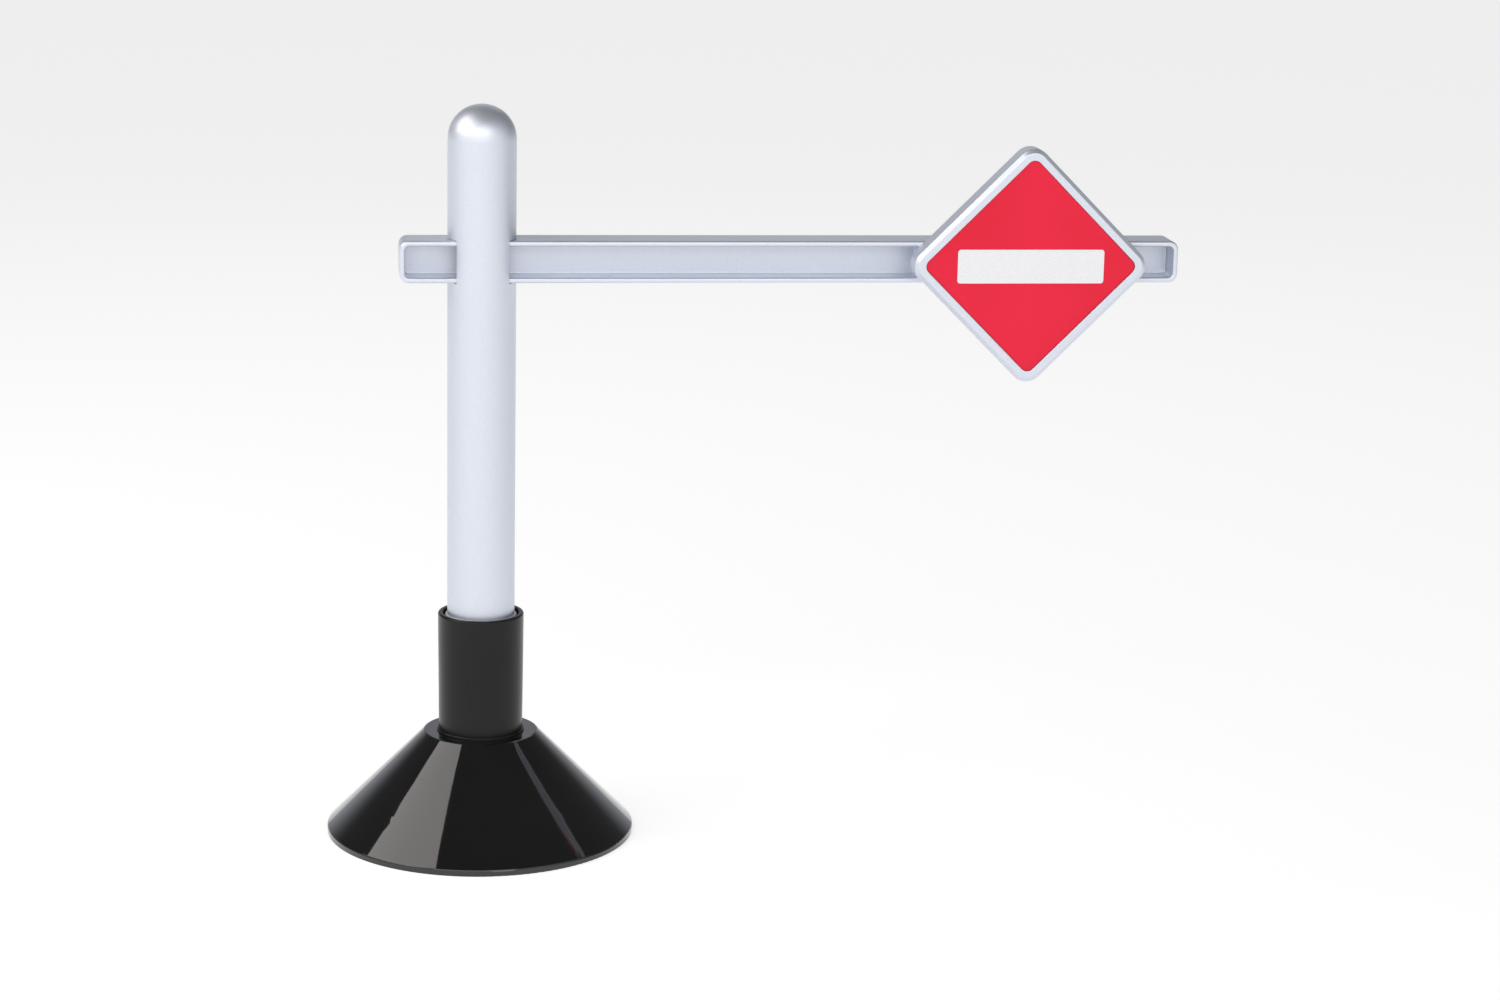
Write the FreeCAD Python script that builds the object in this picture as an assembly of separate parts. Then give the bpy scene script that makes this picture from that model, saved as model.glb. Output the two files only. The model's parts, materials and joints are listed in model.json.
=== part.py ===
import FreeCAD, Part
import math
import os

# Desk-size signpost: a weighted round foot, a round post that swivels in the foot's collar,
# and an arm that slides through the post and carries a diamond sign.
# Millimetres, +Z up. The origin is the centre of the foot's underside, on the post's axis.
# +X runs along the arm towards the sign, and the sign faces -Y.

# Foot
BASE_DIAMETER = 126.0
BASE_LIP = 2.4
BASE_TOP_DIAMETER = 46.4
BASE_TOP_Z = 42.6
BASE_WALL = 2.6
BASE_EDGE_RADIUS = 0.9
BASE_FOOT_RADIUS = 0.3
UNDER_PLATE = 3.0
UNDER_PLATE_RIM = 2.4
BALLAST_THICKNESS = 6.0
BALLAST_GAP = 2.5
BASE_BOSS_INSET = 14.0
BASE_BOSS_DIAMETER = 7.0
BASE_BOSS_HEIGHT = 13.0
BASE_SCREW_COUNT = 4

# Collar that holds the post
COLLAR_LENGTH = 49.9
COLLAR_WALL = 3.65
COLLAR_TAPER = 0.4
COLLAR_RIM_RADIUS = 0.8
COLLAR_BEAD_WIDTH = 0.8
COLLAR_BEAD_HEIGHT = 1.0
COLLAR_SPIGOT_STEP = 1.1
COLLAR_FLOOR = 6.0
MOUTH_STEP = 1.65
MOUTH_DEPTH = 2.6
SOCKET_SCREW_CIRCLE = 9.0
SOCKET_SCREW_COUNT = 3

# Post
POST_DIAMETER = 27.5
POST_WALL = 2.0
POST_TOP_Z = 300.0
POST_FOOT_GAP = 4.5
POST_BEAD_STEP = 0.95
POST_BEAD_HEIGHT = 2.0
POST_BEAD_RADIUS = 0.7
POST_BOSS_DIAMETER = 6.4
POST_LOW_SCREW = 41.0
POST_HIGH_SCREW = 30.0
FOOT_PLUG_FLANGE = 1.5
FOOT_PLUG_DEPTH = 9.0
FOOT_PLUG_WALL = 2.6
FOOT_PLUG_STEP = 0.4
RING_RISE = 15.0
RING_HEIGHT = 3.0
RING_THICKNESS = 1.07
RING_EDGE_RADIUS = 0.4

# Arm
ARM_LENGTH = 316.0
ARM_TAIL = 33.0
ARM_HEIGHT = 17.0
ARM_DEPTH = 17.5
ARM_WALL = 2.2
ARM_WEB = 2.5
ARM_POCKET_DEPTH = 11.0
ARM_BELOW_TOP = 62.0
ARM_CORNER_RADIUS = 3.6
ARM_POCKET_RADIUS = 1.8
ARM_FLOOR_RADIUS = 0.6
ARM_EDGE_RADIUS = 1.0
ARM_RIM_RADIUS = 0.9
ARM_SCREW_SPACING = 32.0
ARM_BOSS_DIAMETER = 7.0
ARM_SCREW_BORE_DEPTH = 10.0

# Sign
SIGN_INSET = 63.5
SIGN_SIDE = 71.0
SIGN_DEPTH = 11.5
SIGN_CORNER_RADIUS = 7.0
SIGN_BEVEL = 1.6
SIGN_EDGE_RADIUS = 0.5
SIGN_LIP_RADIUS = 0.25
SIGN_RIM = 4.3
SIGN_RECESS = 0.6
SIGN_WEB = 1.8
SIGN_WALL = 2.2
SIGN_PAD_INSET = 6.7
FACE_THICKNESS = 1.2
FACE_CORNER_RADIUS = 3.3
FACE_EDGE_RADIUS = 0.2
BACK_PLATE = 2.0
SIGN_BOSS_DIAMETER = 6.5
SIGN_BOSS_INSET = 7.1

# Legend: a plain bar across the face, its length and height as shares of the face's side
LEGEND_LENGTH_SHARE = 0.96
LEGEND_HEIGHT_SHARE = 0.22
LEGEND_THICKNESS = 0.25
LEGEND_CORNER_RADIUS = 1.2
LEGEND_EDGE_RADIUS = 0.1

# Fits
SEAT_CLEARANCE = 0.15
SWIVEL_CLEARANCE = 0.10
RING_CLEARANCE = 0.03
SLIDE_CLEARANCE = 0.15
FACE_CLEARANCE = 0.10
THREAD_CLEARANCE = 0.05

# Self-tapping screws
SCREW_SHANK_DIAMETER = 2.4
SCREW_HEAD_DIAMETER = 4.4
SCREW_HEAD_HEIGHT = 1.6
SCREW_HEAD_EDGE = 0.4
SCREW_TIP = 0.6
SCREW_HOLE_DIAMETER = 2.8
SCREW_BORE_DIAMETER = 5.0
SCREW_SINK = 0.2
SCREW_BITE = 5.0
PILOT_DEPTH = 5.8
DRIVE_LENGTH = 3.2
DRIVE_WIDTH = 0.6
DRIVE_DEPTH = 0.8

# Break on the edges of hidden pieces
SMALL_EDGE = 0.5

BASE_R = BASE_DIAMETER / 2
BASE_TOP_R = BASE_TOP_DIAMETER / 2
SLANT_RUN = BASE_R - BASE_TOP_R
SLANT_RISE = BASE_TOP_Z - BASE_LIP
WALL_RUN = BASE_WALL * math.hypot(SLANT_RUN, SLANT_RISE) / SLANT_RISE
BASE_BOSS_R = BASE_R - BASE_BOSS_INSET
BALLAST_R = BASE_BOSS_R - BASE_BOSS_DIAMETER / 2 - BALLAST_GAP
BALLAST_Z = UNDER_PLATE
COLLAR_Z = BALLAST_Z + BALLAST_THICKNESS
COLLAR_TOP_Z = BASE_TOP_Z + COLLAR_LENGTH
SOCKET_FLOOR_Z = COLLAR_Z + COLLAR_FLOOR
POST_R = POST_DIAMETER / 2
POST_INNER_R = POST_R - POST_WALL
BORE_R = POST_R + SWIVEL_CLEARANCE
MOUTH_R = BORE_R + MOUTH_STEP
COLLAR_TOP_R = BORE_R + COLLAR_WALL
COLLAR_FOOT_R = COLLAR_TOP_R - COLLAR_TAPER
SPIGOT_R = COLLAR_FOOT_R - COLLAR_SPIGOT_STEP
BEAD_Z = COLLAR_TOP_Z - MOUTH_DEPTH
POST_FOOT_Z = SOCKET_FLOOR_Z + POST_FOOT_GAP + FOOT_PLUG_FLANGE
RING_Z = POST_FOOT_Z + RING_RISE
RING_OUTER_R = BORE_R - RING_CLEARANCE
RING_INNER_R = RING_OUTER_R - RING_THICKNESS
DOME_Z = POST_TOP_Z - POST_R
ARM_Z = POST_TOP_Z - ARM_BELOW_TOP
ARM_X0 = -ARM_TAIL
ARM_X1 = ARM_LENGTH - ARM_TAIL
ARM_FRONT_Y = -ARM_DEPTH / 2
ARM_BACK_Y = ARM_DEPTH / 2
ARM_WEB_FRONT_Y = ARM_FRONT_Y + ARM_POCKET_DEPTH
ARM_WEB_BACK_Y = ARM_WEB_FRONT_Y + ARM_WEB
POST_SCREW_HEIGHTS = (
    POST_FOOT_Z + POST_LOW_SCREW,
    COLLAR_TOP_Z + (ARM_Z - COLLAR_TOP_Z) / 3,
    COLLAR_TOP_Z + (ARM_Z - COLLAR_TOP_Z) * 2 / 3,
    ARM_Z + POST_HIGH_SCREW,
)
SIGN_X = ARM_X1 - SIGN_INSET
PAD_REACH = SIGN_SIDE / math.sqrt(2) - SIGN_PAD_INSET
PAD_X0 = SIGN_X - PAD_REACH
PAD_X1 = SIGN_X + PAD_REACH
SIGN_FRONT_Y = ARM_FRONT_Y - SIGN_DEPTH
FACE_SIDE = SIGN_SIDE - 2 * SIGN_RIM
FACE_FRONT_Y = SIGN_FRONT_Y + SIGN_RECESS
FACE_BACK_Y = FACE_FRONT_Y + FACE_THICKNESS
SIGN_WEB_BACK_Y = FACE_BACK_Y + SIGN_WEB
PLATE_FRONT_Y = ARM_FRONT_Y - BACK_PLATE
CAVITY_SIDE = SIGN_SIDE - 2 * SIGN_WALL
CAVITY_RADIUS = SIGN_CORNER_RADIUS - SIGN_WALL
SIGN_BOSS_OFFSET = (CAVITY_SIDE / 2 - SIGN_BOSS_INSET) / math.sqrt(2)
SHANK_R = SCREW_SHANK_DIAMETER / 2
PILOT_R = SHANK_R + THREAD_CLEARANCE
HOLE_R = SCREW_HOLE_DIAMETER / 2
SCREW_BORE_R = SCREW_BORE_DIAMETER / 2
LEGEND_LENGTH = LEGEND_LENGTH_SHARE * FACE_SIDE
LEGEND_HEIGHT = LEGEND_HEIGHT_SHARE * FACE_SIDE
LEGEND_FRONT_Y = FACE_FRONT_Y - LEGEND_THICKNESS

Y_AXIS = FreeCAD.Vector(0, 1, 0)
Z_AXIS = FreeCAD.Vector(0, 0, 1)
TOLERANCE = 1e-6


def vec(x, y, z):
    return FreeCAD.Vector(x, y, z)


def rounded_face(corners, place):
    """Flat face through corners (u, v, radius), where place(u, v) is the point in space."""
    edges = []
    runs = []
    count = len(corners)
    for index in range(count):
        u, v, radius = corners[index]
        here = vec(u, v, 0)
        before = vec(corners[index - 1][0], corners[index - 1][1], 0) - here
        after = vec(corners[(index + 1) % count][0], corners[(index + 1) % count][1], 0) - here
        before.normalize()
        after.normalize()
        if radius == 0:
            runs.append((here, here, here))
            continue
        half = before.getAngle(after) / 2
        bisector = before + after
        bisector.normalize()
        start = here + before * (radius / math.tan(half))
        end = here + after * (radius / math.tan(half))
        middle = here + bisector * (radius / math.sin(half) - radius)
        runs.append((start, middle, end))
    for index in range(count):
        start, middle, end = [place(point.x, point.y) for point in runs[index]]
        following = runs[(index + 1) % count][0]
        following = place(following.x, following.y)
        if start.distanceToPoint(end) > TOLERANCE:
            edges.append(Part.Arc(start, middle, end).toShape())
        if end.distanceToPoint(following) > TOLERANCE:
            edges.append(Part.makeLine(end, following))
    return Part.Face(Part.Wire(edges))


def turned(corners):
    """Solid of revolution about Z from a closed profile of (radius, height, fillet) corners."""
    face = rounded_face(corners, lambda r, z: vec(r, 0, z))
    return face.revolve(vec(0, 0, 0), Z_AXIS, 360)


def slab(x0, x1, z0, z1, y0, y1, radius):
    """Block along Y whose outline in the XZ plane is a rounded rectangle."""
    corners = [(x0, z0, radius), (x1, z0, radius), (x1, z1, radius), (x0, z1, radius)]
    face = rounded_face(corners, lambda x, z: vec(x, y0, z))
    return face.extrude(vec(0, y1 - y0, 0))


def diamond(side, radius, y0, y1):
    """Block along Y whose outline is a rounded square standing on one corner, at the sign's centre."""
    half = side / 2
    block = slab(-half, half, -half, half, y0, y1, radius)
    block.rotate(vec(0, 0, 0), Y_AXIS, 45)
    block.translate(vec(SIGN_X, 0, ARM_Z))
    return block


def rod(radius, start, direction, length):
    return Part.makeCylinder(radius, length, start, direction)


def around(radius, count, turn=0.0):
    """Points evenly spaced on a circle about the post's axis."""
    angles = [turn + 2 * math.pi * index / count for index in range(count)]
    return [vec(radius * math.cos(angle), radius * math.sin(angle), 0) for angle in angles]


def edges_at_y(shape, y):
    """Edges that lie wholly in the plane at this y."""
    return [edge for edge in shape.Edges
            if abs(edge.BoundBox.YMin - y) < TOLERANCE and abs(edge.BoundBox.YMax - y) < TOLERANCE]


def screw(head_point, direction, length):
    """Screw with a cross drive. head_point is the centre of the head's outer face."""
    head = Part.makeCylinder(SCREW_HEAD_DIAMETER / 2, SCREW_HEAD_HEIGHT)
    top_edges = [edge for edge in head.Edges if edge.BoundBox.ZMax < TOLERANCE]
    head = head.makeFillet(SCREW_HEAD_EDGE, top_edges)
    shank = rod(SHANK_R, vec(0, 0, SCREW_HEAD_HEIGHT), Z_AXIS, length - SCREW_HEAD_HEIGHT)
    tip_edges = [edge for edge in shank.Edges if edge.BoundBox.ZMin > length - TOLERANCE]
    shank = shank.makeChamfer(SCREW_TIP, tip_edges)
    body = head.fuse(shank).removeSplitter()
    for size_x, size_y in ((DRIVE_LENGTH, DRIVE_WIDTH), (DRIVE_WIDTH, DRIVE_LENGTH)):
        body = body.cut(Part.makeBox(size_x, size_y, DRIVE_DEPTH, vec(-size_x / 2, -size_y / 2, 0)))
    body.Placement = FreeCAD.Placement(head_point, FreeCAD.Rotation(Z_AXIS, direction))
    return body


def base_boss_points():
    return around(BASE_BOSS_R, BASE_SCREW_COUNT, math.pi / 4)


def socket_screw_points():
    return around(SOCKET_SCREW_CIRCLE, SOCKET_SCREW_COUNT, math.pi / 2)


def base_cone():
    edge = BASE_EDGE_RADIUS
    hole_r = SPIGOT_R + SEAT_CLEARANCE
    ceiling = BASE_TOP_Z - BASE_WALL
    ceiling_r = BASE_R - WALL_RUN - SLANT_RUN * (ceiling - BASE_LIP) / SLANT_RISE
    seat_r = BASE_R - UNDER_PLATE_RIM
    inner_foot_r = BASE_R - WALL_RUN - SLANT_RUN * (UNDER_PLATE - BASE_LIP) / SLANT_RISE
    shell = turned([
        (BASE_R, 0, BASE_FOOT_RADIUS),
        (BASE_R, BASE_LIP, edge),
        (BASE_TOP_R, BASE_TOP_Z, edge),
        (hole_r, BASE_TOP_Z, 0),
        (hole_r, ceiling, 0),
        (ceiling_r, ceiling, 0),
        (inner_foot_r, UNDER_PLATE, 0),
        (seat_r, UNDER_PLATE, 0),
        (seat_r, 0, 0),
    ])
    envelope = turned([(0, 0, 0), (BASE_R, 0, 0), (BASE_R, BASE_LIP, edge), (BASE_TOP_R, BASE_TOP_Z, edge),
                       (0, BASE_TOP_Z, 0)])
    for point in base_boss_points():
        foot = point + vec(0, 0, UNDER_PLATE)
        boss = rod(BASE_BOSS_DIAMETER / 2, foot, Z_AXIS, BASE_BOSS_HEIGHT)
        shell = shell.fuse(boss.common(envelope))
    for point in base_boss_points():
        foot = point + vec(0, 0, UNDER_PLATE)
        shell = shell.cut(rod(PILOT_R, foot, Z_AXIS, PILOT_DEPTH))
    return shell.removeSplitter()


def base_plate():
    radius = BASE_R - UNDER_PLATE_RIM - SEAT_CLEARANCE
    plate = turned([(0, 0, 0), (radius, 0, SMALL_EDGE), (radius, UNDER_PLATE, 0), (0, UNDER_PLATE, 0)])
    for point in base_boss_points() + socket_screw_points():
        plate = plate.cut(rod(HOLE_R, point, Z_AXIS, UNDER_PLATE))
        plate = plate.cut(rod(SCREW_BORE_R, point, Z_AXIS, SCREW_SINK + SCREW_HEAD_HEIGHT))
    return plate


def base_plate_screws():
    length = UNDER_PLATE - SCREW_SINK + SCREW_BITE
    return [screw(point + vec(0, 0, SCREW_SINK), Z_AXIS, length) for point in base_boss_points()]


def ballast_disc():
    top = BALLAST_Z + BALLAST_THICKNESS
    disc = turned([(0, BALLAST_Z, 0), (BALLAST_R, BALLAST_Z, SMALL_EDGE), (BALLAST_R, top, SMALL_EDGE),
                   (0, top, 0)])
    for point in socket_screw_points():
        disc = disc.cut(rod(HOLE_R, point + vec(0, 0, BALLAST_Z), Z_AXIS, BALLAST_THICKNESS))
    return disc


def socket_screws():
    length = COLLAR_Z - SCREW_SINK + SCREW_BITE
    return [screw(point + vec(0, 0, SCREW_SINK), Z_AXIS, length) for point in socket_screw_points()]


def socket_collar():
    bead_r = COLLAR_FOOT_R + COLLAR_BEAD_WIDTH
    bead_top = BASE_TOP_Z + COLLAR_BEAD_HEIGHT
    collar = turned([
        (0, COLLAR_Z, 0),
        (SPIGOT_R, COLLAR_Z, SMALL_EDGE),
        (SPIGOT_R, BASE_TOP_Z, 0),
        (bead_r, BASE_TOP_Z, 0),
        (bead_r, bead_top, SMALL_EDGE),
        (COLLAR_FOOT_R, bead_top, 0),
        (COLLAR_TOP_R, COLLAR_TOP_Z, COLLAR_RIM_RADIUS),
        (MOUTH_R, COLLAR_TOP_Z, COLLAR_RIM_RADIUS / 2),
        (MOUTH_R, BEAD_Z, 0),
        (BORE_R, BEAD_Z, 0),
        (BORE_R, SOCKET_FLOOR_Z, 0),
        (0, SOCKET_FLOOR_Z, 0),
    ])
    for point in socket_screw_points():
        collar = collar.cut(rod(PILOT_R, point + vec(0, 0, COLLAR_Z), Z_AXIS, PILOT_DEPTH))
    return collar


def post_half(front):
    """One half shell of the post, split on the arm's plane. Its bosses meet the other half's there."""
    side = -1 if front else 1
    outer = rod(POST_R, vec(0, 0, POST_FOOT_Z), Z_AXIS, DOME_Z - POST_FOOT_Z)
    outer = outer.fuse(Part.makeSphere(POST_R, vec(0, 0, DOME_Z))).removeSplitter()
    bead_r = POST_R + POST_BEAD_STEP
    bead_top = BEAD_Z + POST_BEAD_HEIGHT
    bead = turned([(POST_INNER_R, BEAD_Z, 0), (bead_r, BEAD_Z, 0), (bead_r, bead_top, POST_BEAD_RADIUS),
                   (POST_INNER_R, bead_top, 0)])
    cavity = rod(POST_INNER_R, vec(0, 0, POST_FOOT_Z), Z_AXIS, DOME_Z - POST_FOOT_Z)
    cavity = cavity.fuse(Part.makeSphere(POST_INNER_R, vec(0, 0, DOME_Z)))
    body = outer.cut(cavity).fuse(bead)
    ring_cut = rod(POST_R, vec(0, 0, RING_Z), Z_AXIS, RING_HEIGHT)
    ring_cut = ring_cut.cut(rod(RING_INNER_R, vec(0, 0, RING_Z), Z_AXIS, RING_HEIGHT))
    body = body.cut(ring_cut)
    for height in POST_SCREW_HEIGHTS:
        boss = rod(POST_BOSS_DIAMETER / 2, vec(0, 0, height), vec(0, side, 0), POST_R)
        body = body.fuse(boss.common(outer))
    slot_y = ARM_DEPTH / 2 + SLIDE_CLEARANCE
    slot_z = ARM_HEIGHT / 2 + SLIDE_CLEARANCE
    slot = Part.makeBox(2 * POST_DIAMETER, 2 * slot_y, 2 * slot_z,
                        vec(-POST_DIAMETER, -slot_y, ARM_Z - slot_z))
    body = body.cut(slot)
    for height in POST_SCREW_HEIGHTS:
        middle = vec(0, 0, height)
        if front:
            body = body.cut(rod(PILOT_R, middle, vec(0, side, 0), PILOT_DEPTH))
        else:
            body = body.cut(rod(HOLE_R, middle, vec(0, side, 0), POST_DIAMETER))
            body = body.cut(rod(SCREW_BORE_R, vec(0, POST_R / 2, height), vec(0, side, 0), POST_DIAMETER))
    half_space = Part.makeBox(4 * POST_R, 2 * POST_R, POST_TOP_Z + POST_R,
                              vec(-2 * POST_R, -2 * POST_R if front else 0, 0))
    return body.common(half_space).removeSplitter()


def post_front_shell():
    return post_half(True)


def post_back_shell():
    return post_half(False)


def post_screws():
    seat_y = POST_R / 2
    length = SCREW_HEAD_HEIGHT + seat_y + SCREW_BITE
    return [screw(vec(0, seat_y + SCREW_HEAD_HEIGHT, height), vec(0, -1, 0), length)
            for height in POST_SCREW_HEIGHTS]


def post_foot_plug():
    flange_r = POST_R - FOOT_PLUG_STEP
    spigot_r = POST_INNER_R - SEAT_CLEARANCE
    bore_r = spigot_r - FOOT_PLUG_WALL
    flange_z = POST_FOOT_Z - FOOT_PLUG_FLANGE
    top = POST_FOOT_Z + FOOT_PLUG_DEPTH
    return turned([
        (0, flange_z, 0),
        (flange_r, flange_z, SMALL_EDGE),
        (flange_r, POST_FOOT_Z, 0),
        (spigot_r, POST_FOOT_Z, 0),
        (spigot_r, top, SMALL_EDGE),
        (bore_r, top, 0),
        (bore_r, POST_FOOT_Z, 0),
        (0, POST_FOOT_Z, 0),
    ])


def friction_ring():
    top = RING_Z + RING_HEIGHT
    return turned([
        (RING_INNER_R, RING_Z, 0),
        (RING_OUTER_R, RING_Z, RING_EDGE_RADIUS),
        (RING_OUTER_R, top, RING_EDGE_RADIUS),
        (RING_INNER_R, top, 0),
    ])


def arm_screw_points(y):
    half = ARM_SCREW_SPACING / 2
    return [vec(SIGN_X + side * half, y, ARM_Z) for side in (-1, 1)]


def arm_pocket(x0, x1, mouth_y, floor_y):
    """Rounded pocket between the arm's top and bottom walls, open at mouth_y."""
    z0 = ARM_Z - ARM_HEIGHT / 2 + ARM_WALL
    z1 = ARM_Z + ARM_HEIGHT / 2 - ARM_WALL
    pocket = slab(x0, x1, z0, z1, mouth_y, floor_y, ARM_POCKET_RADIUS)
    return pocket.makeFillet(ARM_FLOOR_RADIUS, edges_at_y(pocket, floor_y))


def mouth_edges(body, pocket, mouth_y):
    """Edges of the body that lie where the pocket breaks through its face at mouth_y."""
    outline = pocket.BoundBox
    outline.enlarge(TOLERANCE * 10)
    return [edge for edge in edges_at_y(body, mouth_y) if outline.isInside(edge.BoundBox)]


def arm_channel():
    """Arm of H section: a web between its walls, with deep pockets in front and shallow ones behind."""
    z0 = ARM_Z - ARM_HEIGHT / 2
    z1 = ARM_Z + ARM_HEIGHT / 2
    body = slab(ARM_X0, ARM_X1, z0, z1, ARM_FRONT_Y, ARM_BACK_Y, ARM_CORNER_RADIUS)
    rounded = edges_at_y(body, ARM_FRONT_Y) + edges_at_y(body, ARM_BACK_Y)
    body = body.makeFillet(ARM_EDGE_RADIUS, rounded)
    tail = (ARM_X0 + ARM_WALL, PAD_X0)
    middle = (PAD_X0 + ARM_WALL, PAD_X1 - ARM_WALL)
    end = (PAD_X1, ARM_X1 - ARM_WALL)
    seen = [(arm_pocket(*tail, ARM_FRONT_Y, ARM_WEB_FRONT_Y), ARM_FRONT_Y),
            (arm_pocket(*end, ARM_FRONT_Y, ARM_WEB_FRONT_Y), ARM_FRONT_Y)]
    seen += [(arm_pocket(*span, ARM_BACK_Y, ARM_WEB_BACK_Y), ARM_BACK_Y) for span in (tail, middle, end)]
    for pocket, mouth_y in seen:
        body = body.cut(pocket)
    rims = []
    for pocket, mouth_y in seen:
        rims += mouth_edges(body, pocket, mouth_y)
    body = body.makeFillet(ARM_RIM_RADIUS, rims)
    body = body.cut(arm_pocket(*middle, ARM_FRONT_Y, ARM_WEB_FRONT_Y))
    for point in arm_screw_points(ARM_FRONT_Y):
        body = body.fuse(rod(ARM_BOSS_DIAMETER / 2, point, Y_AXIS, ARM_DEPTH))
    body = body.removeSplitter()
    for point in arm_screw_points(ARM_FRONT_Y):
        body = body.cut(rod(HOLE_R, point, Y_AXIS, ARM_DEPTH))
    for point in arm_screw_points(ARM_BACK_Y - ARM_SCREW_BORE_DEPTH):
        body = body.cut(rod(SCREW_BORE_R, point, Y_AXIS, ARM_SCREW_BORE_DEPTH))
    return body


def sign_bosses():
    """Centres of the six bosses behind the sign's web: four for the back plate, two for the arm."""
    corners = [vec(SIGN_X + sx * SIGN_BOSS_OFFSET, 0, ARM_Z + sz * SIGN_BOSS_OFFSET)
               for sx in (-1, 1) for sz in (-1, 1)]
    return corners + arm_screw_points(0)


def sign_housing():
    body = diamond(SIGN_SIDE, SIGN_CORNER_RADIUS, SIGN_FRONT_Y, ARM_FRONT_Y)
    body = body.makeChamfer(SIGN_BEVEL, edges_at_y(body, SIGN_FRONT_Y))
    soft = edges_at_y(body, SIGN_FRONT_Y) + edges_at_y(body, SIGN_FRONT_Y + SIGN_BEVEL)
    body = body.makeFillet(SIGN_EDGE_RADIUS, soft + edges_at_y(body, ARM_FRONT_Y))
    body = body.cut(diamond(FACE_SIDE, FACE_CORNER_RADIUS, SIGN_FRONT_Y, FACE_BACK_Y))
    body = body.cut(diamond(CAVITY_SIDE, CAVITY_RADIUS, SIGN_WEB_BACK_Y, ARM_FRONT_Y))
    for point in sign_bosses():
        foot = vec(point.x, SIGN_WEB_BACK_Y, point.z)
        body = body.fuse(rod(SIGN_BOSS_DIAMETER / 2, foot, Y_AXIS, PLATE_FRONT_Y - SIGN_WEB_BACK_Y))
    for point in sign_bosses():
        mouth = vec(point.x, PLATE_FRONT_Y, point.z)
        body = body.cut(rod(PILOT_R, mouth, vec(0, -1, 0), PILOT_DEPTH))
    body = body.removeSplitter()
    reach = FACE_SIDE / math.sqrt(2) + TOLERANCE
    lip = [edge for edge in edges_at_y(body, SIGN_FRONT_Y) if abs(edge.CenterOfMass.x - SIGN_X)
           + abs(edge.CenterOfMass.z - ARM_Z) < reach]
    return body.makeFillet(SIGN_LIP_RADIUS, lip)


def sign_face():
    side = FACE_SIDE - 2 * FACE_CLEARANCE
    panel = diamond(side, FACE_CORNER_RADIUS - FACE_CLEARANCE, FACE_FRONT_Y, FACE_BACK_Y)
    return panel.makeFillet(FACE_EDGE_RADIUS, edges_at_y(panel, FACE_FRONT_Y))


def sign_back_plate():
    side = CAVITY_SIDE - 2 * SEAT_CLEARANCE
    plate = diamond(side, CAVITY_RADIUS - SEAT_CLEARANCE, PLATE_FRONT_Y, ARM_FRONT_Y)
    for point in sign_bosses():
        plate = plate.cut(rod(HOLE_R, vec(point.x, PLATE_FRONT_Y, point.z), Y_AXIS, BACK_PLATE))
    return plate


def sign_plate_screws():
    points = sign_bosses()[:4]
    length = SCREW_HEAD_HEIGHT + BACK_PLATE + SCREW_BITE
    return [screw(vec(point.x, ARM_FRONT_Y + SCREW_HEAD_HEIGHT, point.z), vec(0, -1, 0), length)
            for point in points]


def arm_to_sign_screws():
    seat_y = ARM_BACK_Y - ARM_SCREW_BORE_DEPTH
    length = SCREW_HEAD_HEIGHT + seat_y - PLATE_FRONT_Y + SCREW_BITE
    return [screw(point, vec(0, -1, 0), length) for point in arm_screw_points(seat_y + SCREW_HEAD_HEIGHT)]


def sign_legend():
    """Plain horizontal bar on the face, centred on the sign."""
    half_length = LEGEND_LENGTH / 2
    half_height = LEGEND_HEIGHT / 2
    bar = slab(SIGN_X - half_length, SIGN_X + half_length, ARM_Z - half_height, ARM_Z + half_height,
               LEGEND_FRONT_Y, FACE_FRONT_Y, LEGEND_CORNER_RADIUS)
    return bar.makeFillet(LEGEND_EDGE_RADIUS, edges_at_y(bar, LEGEND_FRONT_Y))


NODES = (
    base_cone, base_plate, base_plate_screws, ballast_disc, socket_collar, socket_screws,
    post_front_shell, post_back_shell, post_screws, post_foot_plug, friction_ring,
    arm_channel, arm_to_sign_screws,
    sign_housing, sign_face, sign_legend, sign_back_plate, sign_plate_screws,
)


def export_all():
    os.makedirs("parts", exist_ok=True)
    for maker in NODES:
        made = maker()
        solids = made if isinstance(made, list) else [made]
        for solid in solids:
            if not solid.isValid() or len(solid.Solids) != 1:
                raise ValueError(maker.__name__ + " is not one valid solid")
        shape = solids[0] if len(solids) == 1 else Part.makeCompound(solids)
        shape.exportStep("parts/" + maker.__name__ + ".step")
        box = shape.BoundBox
        print("%-20s %d solid(s), %8.2f cm3, x %.1f..%.1f, y %.1f..%.1f, z %.1f..%.1f" % (
            maker.__name__, len(solids), shape.Volume / 1000,
            box.XMin, box.XMax, box.YMin, box.YMax, box.ZMin, box.ZMax))


export_all()
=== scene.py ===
import json
import math
import bpy
from mathutils import Matrix, Vector

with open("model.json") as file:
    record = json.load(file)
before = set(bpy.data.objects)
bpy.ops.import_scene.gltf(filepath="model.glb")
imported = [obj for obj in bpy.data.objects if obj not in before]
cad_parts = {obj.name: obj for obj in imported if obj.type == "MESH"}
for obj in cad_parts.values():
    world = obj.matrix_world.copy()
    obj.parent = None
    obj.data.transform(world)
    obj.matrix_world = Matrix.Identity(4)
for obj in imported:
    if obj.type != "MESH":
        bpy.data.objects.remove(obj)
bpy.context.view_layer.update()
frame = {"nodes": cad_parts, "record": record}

MM = 0.001
WHITE = (1.0, 1.0, 1.0)

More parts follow.
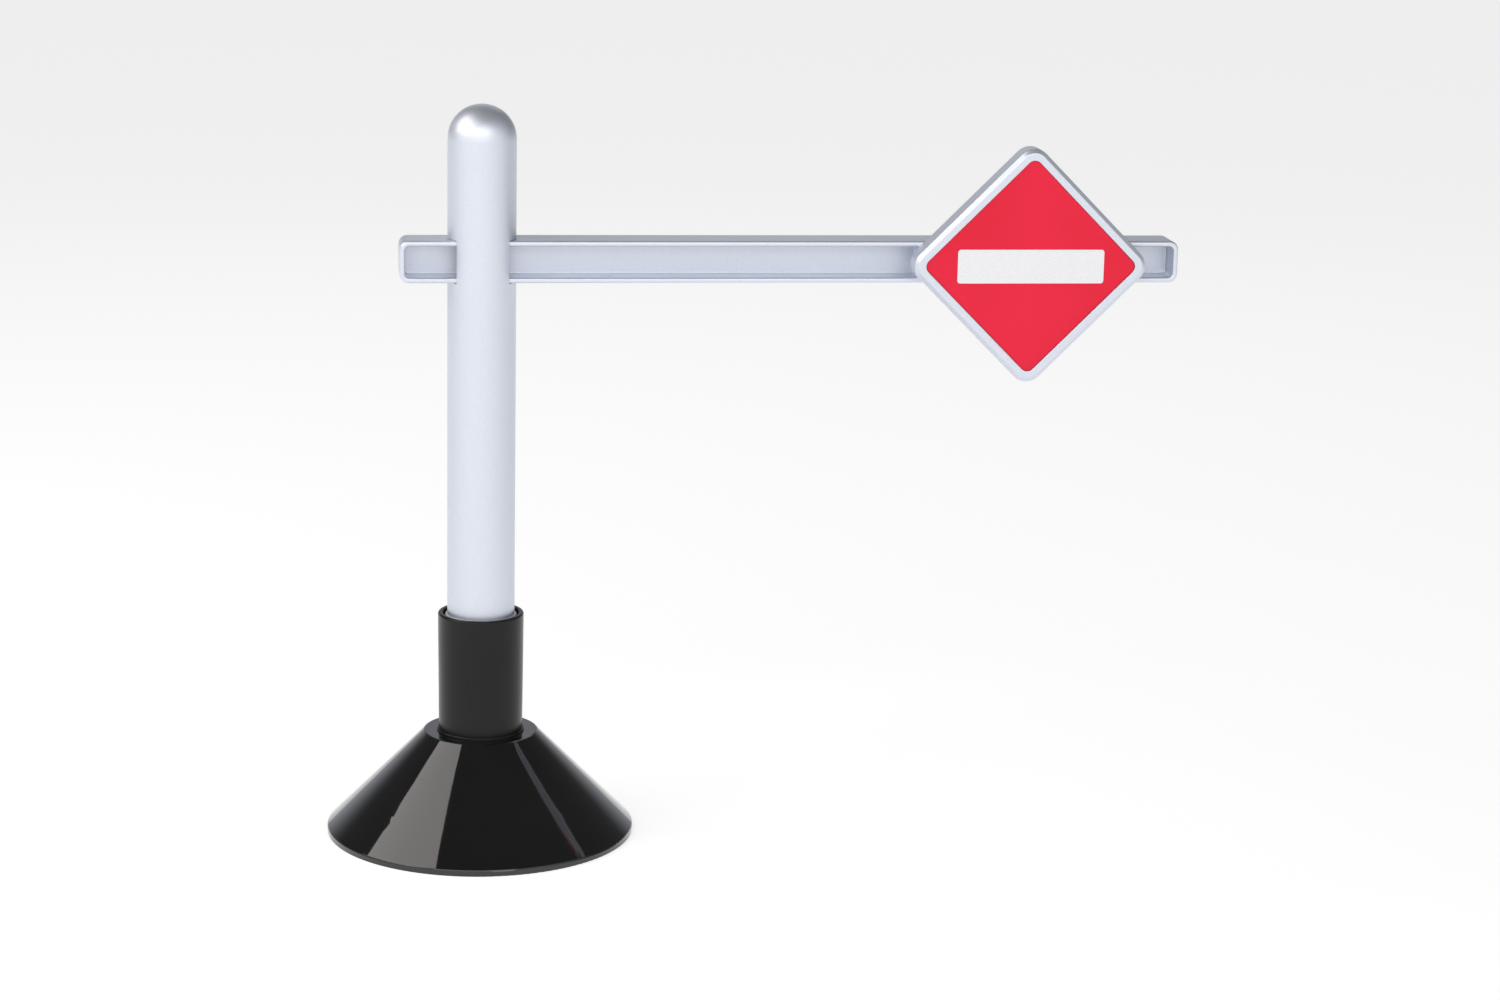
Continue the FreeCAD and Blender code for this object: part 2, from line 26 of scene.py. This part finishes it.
# Camera. Azimuth is measured from straight ahead of the sign, elevation from the horizon, both in degrees.
CAMERA_AZIMUTH = -7.7
CAMERA_ELEVATION = 13.0
CAMERA_ROLL = 1.2
CAMERA_DISTANCE = 1.4
CAMERA_AIM = Vector((0.1101, 0.0, 0.1381))
CAMERA_CLIP_START = 0.05
CAMERA_CLIP_END = 60.0
LENS_MM = 81.9
SENSOR_WIDTH_MM = 36.0

# Floor: one even sheet of paper with an even glow.
FLOOR_RADIUS = 14.0
FLOOR_STEPS = 96
FLOOR_PAPER = (0.48, 0.48, 0.48, 1.0)
FLOOR_GLOW = 0.72
FLOOR_ROUGHNESS = 0.9
FLOOR_SPECULAR = 0.1

# Sky, in linear radiance with 1 as paper white. Each tone is held up to its first height (the direction's z)
# and has faded to the top's tone at its second.
FRONT_SKY = (1.0, 1.0, 1.0)
FRONT_SKY_FADES = (0.45, 0.80)
SIDE_SKY = (0.16, 0.16, 0.17)
SIDE_SKY_FADES = (0.05, 0.45)
BACK_SKY = (0.60, 0.62, 0.66)
BACK_SKY_FADES = (0.15, 0.50)
TOP_SKY = (0.10, 0.10, 0.10)
# Where the sky turns from front to side and from side to back, as the direction's y.
FRONT_TO_SIDE = (-0.60, 0.20)
SIDE_TO_BACK = (0.68, 0.96)

# Soft boxes face this point.
LIGHT_TARGET = Vector((0.05, 0.0, 0.12))
WARM_WHITE = (1.0, 0.955, 0.93)


def new_material(name):
    """A new material, its node tree and its Principled shader."""
    material = bpy.data.materials.new(name)
    material.use_nodes = True
    tree = material.node_tree
    return material, tree, tree.nodes["Principled BSDF"]


def set_sockets(shader, **values):
    """Sets constant values on the shader's own sockets. An underscore in a name stands for a space."""
    for name, value in values.items():
        shader.inputs[name.replace("_", " ")].default_value = value


def object_coordinates(tree):
    return tree.nodes.new("ShaderNodeTexCoord").outputs["Object"]


def stretched(tree, coordinates, scale):
    mapping = tree.nodes.new("ShaderNodeMapping")
    mapping.inputs["Scale"].default_value = scale
    tree.links.new(coordinates, mapping.inputs["Vector"])
    return mapping.outputs["Vector"]


def noise(tree, coordinates, scale, detail, roughness=0.5):
    texture = tree.nodes.new("ShaderNodeTexNoise")
    texture.inputs["Scale"].default_value = scale
    texture.inputs["Detail"].default_value = detail
    texture.inputs["Roughness"].default_value = roughness
    tree.links.new(coordinates, texture.inputs["Vector"])
    return texture.outputs["Fac"]


def mapped(tree, value, low, high, start=0.3, end=0.7):
    """Maps value from start..end to low..high."""
    node = tree.nodes.new("ShaderNodeMapRange")
    node.inputs["From Min"].default_value = start
    node.inputs["From Max"].default_value = end
    node.inputs["To Min"].default_value = low
    node.inputs["To Max"].default_value = high
    tree.links.new(value, node.inputs["Value"])
    return node.outputs["Result"]


def color_ramp(tree, value, stops, interpolation="LINEAR"):
    """Colour ramp over value through two stops of (position, colour)."""
    ramp = tree.nodes.new("ShaderNodeValToRGB")
    ramp.color_ramp.interpolation = interpolation
    for element, (position, color) in zip(ramp.color_ramp.elements, stops):
        element.position = position
        element.color = (*color, 1.0)
    tree.links.new(value, ramp.inputs["Fac"])
    return ramp.outputs["Color"]


def paint(tree, shader, value, dark, light, start=0.3, end=0.7):
    """Base colour from dark, where value is at start, to light at end."""
    tree.links.new(color_ramp(tree, value, [(start, dark), (end, light)]), shader.inputs["Base Color"])


def roughen(tree, shader, value, low, high):
    tree.links.new(mapped(tree, value, low, high), shader.inputs["Roughness"])


def relief(tree, height, depth, strength, over=None):
    """Normal of a fine relief, laid over another normal where one is given."""
    node = tree.nodes.new("ShaderNodeBump")
    node.inputs["Distance"].default_value = depth
    node.inputs["Strength"].default_value = strength
    tree.links.new(height, node.inputs["Height"])
    if over is not None:
        tree.links.new(over, node.inputs["Normal"])
    return node.outputs["Normal"]


def silver_paint():
    """Satin silver paint: fine flakes, a slight orange peel and a faint cloudiness."""
    material, tree, shader = new_material("silver_paint")
    place = object_coordinates(tree)
    flakes = noise(tree, place, scale=5200.0, detail=2.0, roughness=0.7)
    clouds = noise(tree, place, scale=34.0, detail=3.0)
    peel = noise(tree, place, scale=620.0, detail=2.0)
    paint(tree, shader, flakes, dark=(0.62, 0.66, 0.745), light=(0.75, 0.78, 0.855), start=0.35, end=0.65)
    roughen(tree, shader, clouds, low=0.44, high=0.50)
    peel_normal = relief(tree, peel, depth=0.03 * MM, strength=0.25)
    normal = relief(tree, flakes, depth=0.012 * MM, strength=0.35, over=peel_normal)
    tree.links.new(normal, shader.inputs["Normal"])
    set_sockets(shader, Metallic=0.80, Coat_Weight=0.18, Coat_Roughness=0.22)
    return material


def gloss_black():
    """Polished black plastic: near-mirror gloss with faint handling haze."""
    material, tree, shader = new_material("gloss_black")
    place = object_coordinates(tree)
    haze = noise(tree, place, scale=22.0, detail=4.0, roughness=0.6)
    ripple = noise(tree, place, scale=60.0, detail=2.0)
    paint(tree, shader, haze, dark=(0.0045, 0.0045, 0.005), light=(0.0075, 0.0073, 0.0078))
    roughen(tree, shader, haze, low=0.035, high=0.075)
    tree.links.new(relief(tree, ripple, depth=0.04 * MM, strength=0.10), shader.inputs["Normal"])
    set_sockets(shader, IOR=1.52, Coat_Weight=0.45, Coat_Roughness=0.03)
    return material


def grained_black(name, tone, low, high, grain_scale, grain_depth):
    """Black plastic with a fine spark-eroded grain. low and high bound its roughness."""
    variation = 0.15
    material, tree, shader = new_material(name)
    place = object_coordinates(tree)
    grain = noise(tree, place, grain_scale, detail=2.0, roughness=0.6)
    clouds = noise(tree, place, scale=40.0, detail=3.0)
    paint(tree, shader, clouds, dark=(tone * (1 - variation),) * 3, light=(tone * (1 + variation),) * 3)
    roughen(tree, shader, clouds, low, high)
    tree.links.new(relief(tree, grain, grain_depth, strength=0.3), shader.inputs["Normal"])
    set_sockets(shader, Specular_IOR_Level=0.27)
    return material


def satin_black():
    return grained_black(
        "satin_black", tone=0.006, low=0.26, high=0.33, grain_scale=1800.0, grain_depth=0.02 * MM)


def under_black():
    return grained_black(
        "under_black", tone=0.012, low=0.5, high=0.6, grain_scale=1400.0, grain_depth=0.06 * MM)


def sign_red():
    """Smooth red plastic with a slight orange peel."""
    material, tree, shader = new_material("sign_red")
    place = object_coordinates(tree)
    clouds = noise(tree, place, scale=26.0, detail=3.0)
    peel = noise(tree, place, scale=900.0, detail=2.0)
    paint(tree, shader, clouds, dark=(0.72, 0.006, 0.033), light=(0.76, 0.008, 0.041))
    roughen(tree, shader, clouds, low=0.36, high=0.44)
    tree.links.new(relief(tree, peel, depth=0.02 * MM, strength=0.2), shader.inputs["Normal"])
    set_sockets(shader, Specular_IOR_Level=0.3)
    return material


def one_pattern(name, scale, dark, light, low, high, depth, strength, stretch=None):
    """A material whose colour, roughness and relief all follow one noise pattern."""
    material, tree, shader = new_material(name)
    place = object_coordinates(tree)
    if stretch is not None:
        place = stretched(tree, place, stretch)
    pattern = noise(tree, place, scale, detail=3.0)
    paint(tree, shader, pattern, dark, light)
    roughen(tree, shader, pattern, low, high)
    tree.links.new(relief(tree, pattern, depth, strength), shader.inputs["Normal"])
    return material, shader


def legend_white():
    """White ink on a fine tooth."""
    material, _ = one_pattern(
        "legend_white", scale=1500.0, dark=(0.72, 0.72, 0.74), light=(0.81, 0.81, 0.83),
        low=0.42, high=0.52, depth=0.02 * MM, strength=0.3)
    return material


def inner_grey():
    """Plain moulded grey with faint flow marks."""
    material, _ = one_pattern(
        "inner_grey", scale=90.0, dark=(0.27, 0.285, 0.31), light=(0.33, 0.345, 0.37),
        low=0.45, high=0.55, depth=0.03 * MM, strength=0.2)
    return material


def ring_rubber():
    """Dull black rubber."""
    material, _ = one_pattern(
        "ring_rubber", scale=2600.0, dark=(0.012, 0.012, 0.012), light=(0.022, 0.022, 0.022),
        low=0.6, high=0.75, depth=0.03 * MM, strength=0.3)
    return material


def plated_steel(name, scale, dark, light, low, high):
    """Plated steel with drawn streaks along Z."""
    material, shader = one_pattern(
        name, scale, dark, light, low, high, depth=0.02 * MM, strength=0.2, stretch=(1.0, 1.0, 0.15))
    set_sockets(shader, Metallic=1.0)
    return material


def ballast_steel():
    return plated_steel(
        "ballast_steel", scale=300.0, dark=(0.42, 0.42, 0.41), light=(0.52, 0.52, 0.50), low=0.35, high=0.5)


def screw_steel():
    return plated_steel(
        "screw_steel", scale=900.0, dark=(0.55, 0.55, 0.56), light=(0.68, 0.68, 0.69), low=0.2, high=0.3)


def dress_nodes():
    """Gives each CAD node the material that its slot in the record names."""
    makers = [
        silver_paint, gloss_black, satin_black, under_black, inner_grey,
        ballast_steel, screw_steel, ring_rubber, sign_red, legend_white,
    ]
    materials = {maker.__name__: maker() for maker in makers}
    slots = {entry["node"]: entry["material_slot"] for entry in frame["record"]["subparts"]}
    for name, piece in frame["nodes"].items():
        piece.data.materials.clear()
        piece.data.materials.append(materials[slots[name]])


def floor_material():
    """Even white paper with an even glow, as on a light table."""
    material, _, shader = new_material("floor_paper")
    set_sockets(
        shader, Base_Color=FLOOR_PAPER, Roughness=FLOOR_ROUGHNESS, Specular_IOR_Level=FLOOR_SPECULAR,
        Emission_Color=(*WHITE, 1.0), Emission_Strength=FLOOR_GLOW)
    return material


def add_floor():
    mesh = bpy.data.meshes.new("floor")
    turns = [2 * math.pi * step / FLOOR_STEPS for step in range(FLOOR_STEPS)]
    rim = [(FLOOR_RADIUS * math.cos(turn), FLOOR_RADIUS * math.sin(turn), 0.0) for turn in turns]
    mesh.from_pydata(rim, [], [list(range(FLOOR_STEPS))])
    mesh.materials.append(floor_material())
    floor = bpy.data.objects.new("floor", mesh)
    bpy.context.scene.collection.objects.link(floor)


def faded_sky(tree, height, tone, fades):
    """Sky tone that fades upwards to the top's tone."""
    start, end = fades
    return color_ramp(tree, height, [(start, tone), (end, TOP_SKY)], "EASE")


def blended(tree, value, turn, first, second):
    """First colour up to the start of turn, second from its end on."""
    blend = tree.nodes.new("ShaderNodeMix")
    blend.data_type = "RGBA"
    start, end = turn
    tree.links.new(mapped(tree, value, 0.0, 1.0, start, end), blend.inputs["Factor"])
    tree.links.new(first, blend.inputs["A"])
    tree.links.new(second, blend.inputs["B"])
    return blend.outputs["Result"]


def add_world():
    """Studio surroundings: bright in front, dimmer at the sides and behind, dark overhead."""
    world = bpy.data.worlds.new("studio")
    bpy.context.scene.world = world
    world.use_nodes = True
    tree = world.node_tree
    direction = tree.nodes.new("ShaderNodeSeparateXYZ")
    tree.links.new(tree.nodes.new("ShaderNodeTexCoord").outputs["Generated"], direction.inputs["Vector"])
    height = direction.outputs["Z"]
    depth = direction.outputs["Y"]
    front = faded_sky(tree, height, FRONT_SKY, FRONT_SKY_FADES)
    side = faded_sky(tree, height, SIDE_SKY, SIDE_SKY_FADES)
    back = faded_sky(tree, height, BACK_SKY, BACK_SKY_FADES)
    side_and_back = blended(tree, depth, SIDE_TO_BACK, side, back)
    sky = blended(tree, depth, FRONT_TO_SIDE, front, side_and_back)
    tree.links.new(sky, tree.nodes["Background"].inputs["Color"])


def softbox(name, direction, distance, width, height, radiance, color=WHITE):
    """Rectangular light that faces the target. radiance is how bright it looks, whatever its size."""
    data = bpy.data.lights.new(name, "AREA")
    data.shape = "RECTANGLE"
    data.size = width
    data.size_y = height
    data.energy = radiance * width * height * math.pi
    data.color = color
    light = bpy.data.objects.new(name, data)
    bpy.context.scene.collection.objects.link(light)
    direction = Vector(direction).normalized()
    light.location = LIGHT_TARGET + direction * distance
    light.rotation_euler = direction.to_track_quat("Z", "Y").to_euler()
    light.visible_camera = False


def add_lights():
    softbox("key_left", direction=(-0.74, -0.10, 0.67), distance=1.3, width=1.10, height=0.90,
            radiance=2.5, color=WARM_WHITE)
    softbox("front_top", direction=(-0.10, -0.82, 0.57), distance=1.7, width=1.9, height=0.85, radiance=1.55)
    softbox("rear_top", direction=(0.10, 0.82, 0.56), distance=1.6, width=0.9, height=0.6, radiance=0.6)


def add_camera():
    azimuth = math.radians(CAMERA_AZIMUTH)
    elevation = math.radians(CAMERA_ELEVATION)
    back = Vector((
        math.sin(azimuth) * math.cos(elevation),
        -math.cos(azimuth) * math.cos(elevation),
        math.sin(elevation),
    ))
    data = bpy.data.cameras.new("camera")
    data.sensor_width = SENSOR_WIDTH_MM
    data.lens = LENS_MM
    data.clip_start = CAMERA_CLIP_START
    data.clip_end = CAMERA_CLIP_END
    camera = bpy.data.objects.new("camera", data)
    bpy.context.scene.collection.objects.link(camera)
    upright = back.to_track_quat("Z", "Y").to_matrix()
    roll = Matrix.Rotation(math.radians(CAMERA_ROLL), 3, "Z")
    place = Matrix.Translation(CAMERA_AIM + back * CAMERA_DISTANCE)
    camera.matrix_world = place @ (upright @ roll).to_4x4()
    bpy.context.scene.camera = camera


dress_nodes()
add_floor()
add_world()
add_lights()
add_camera()
bpy.context.scene.view_settings.view_transform = "Standard"
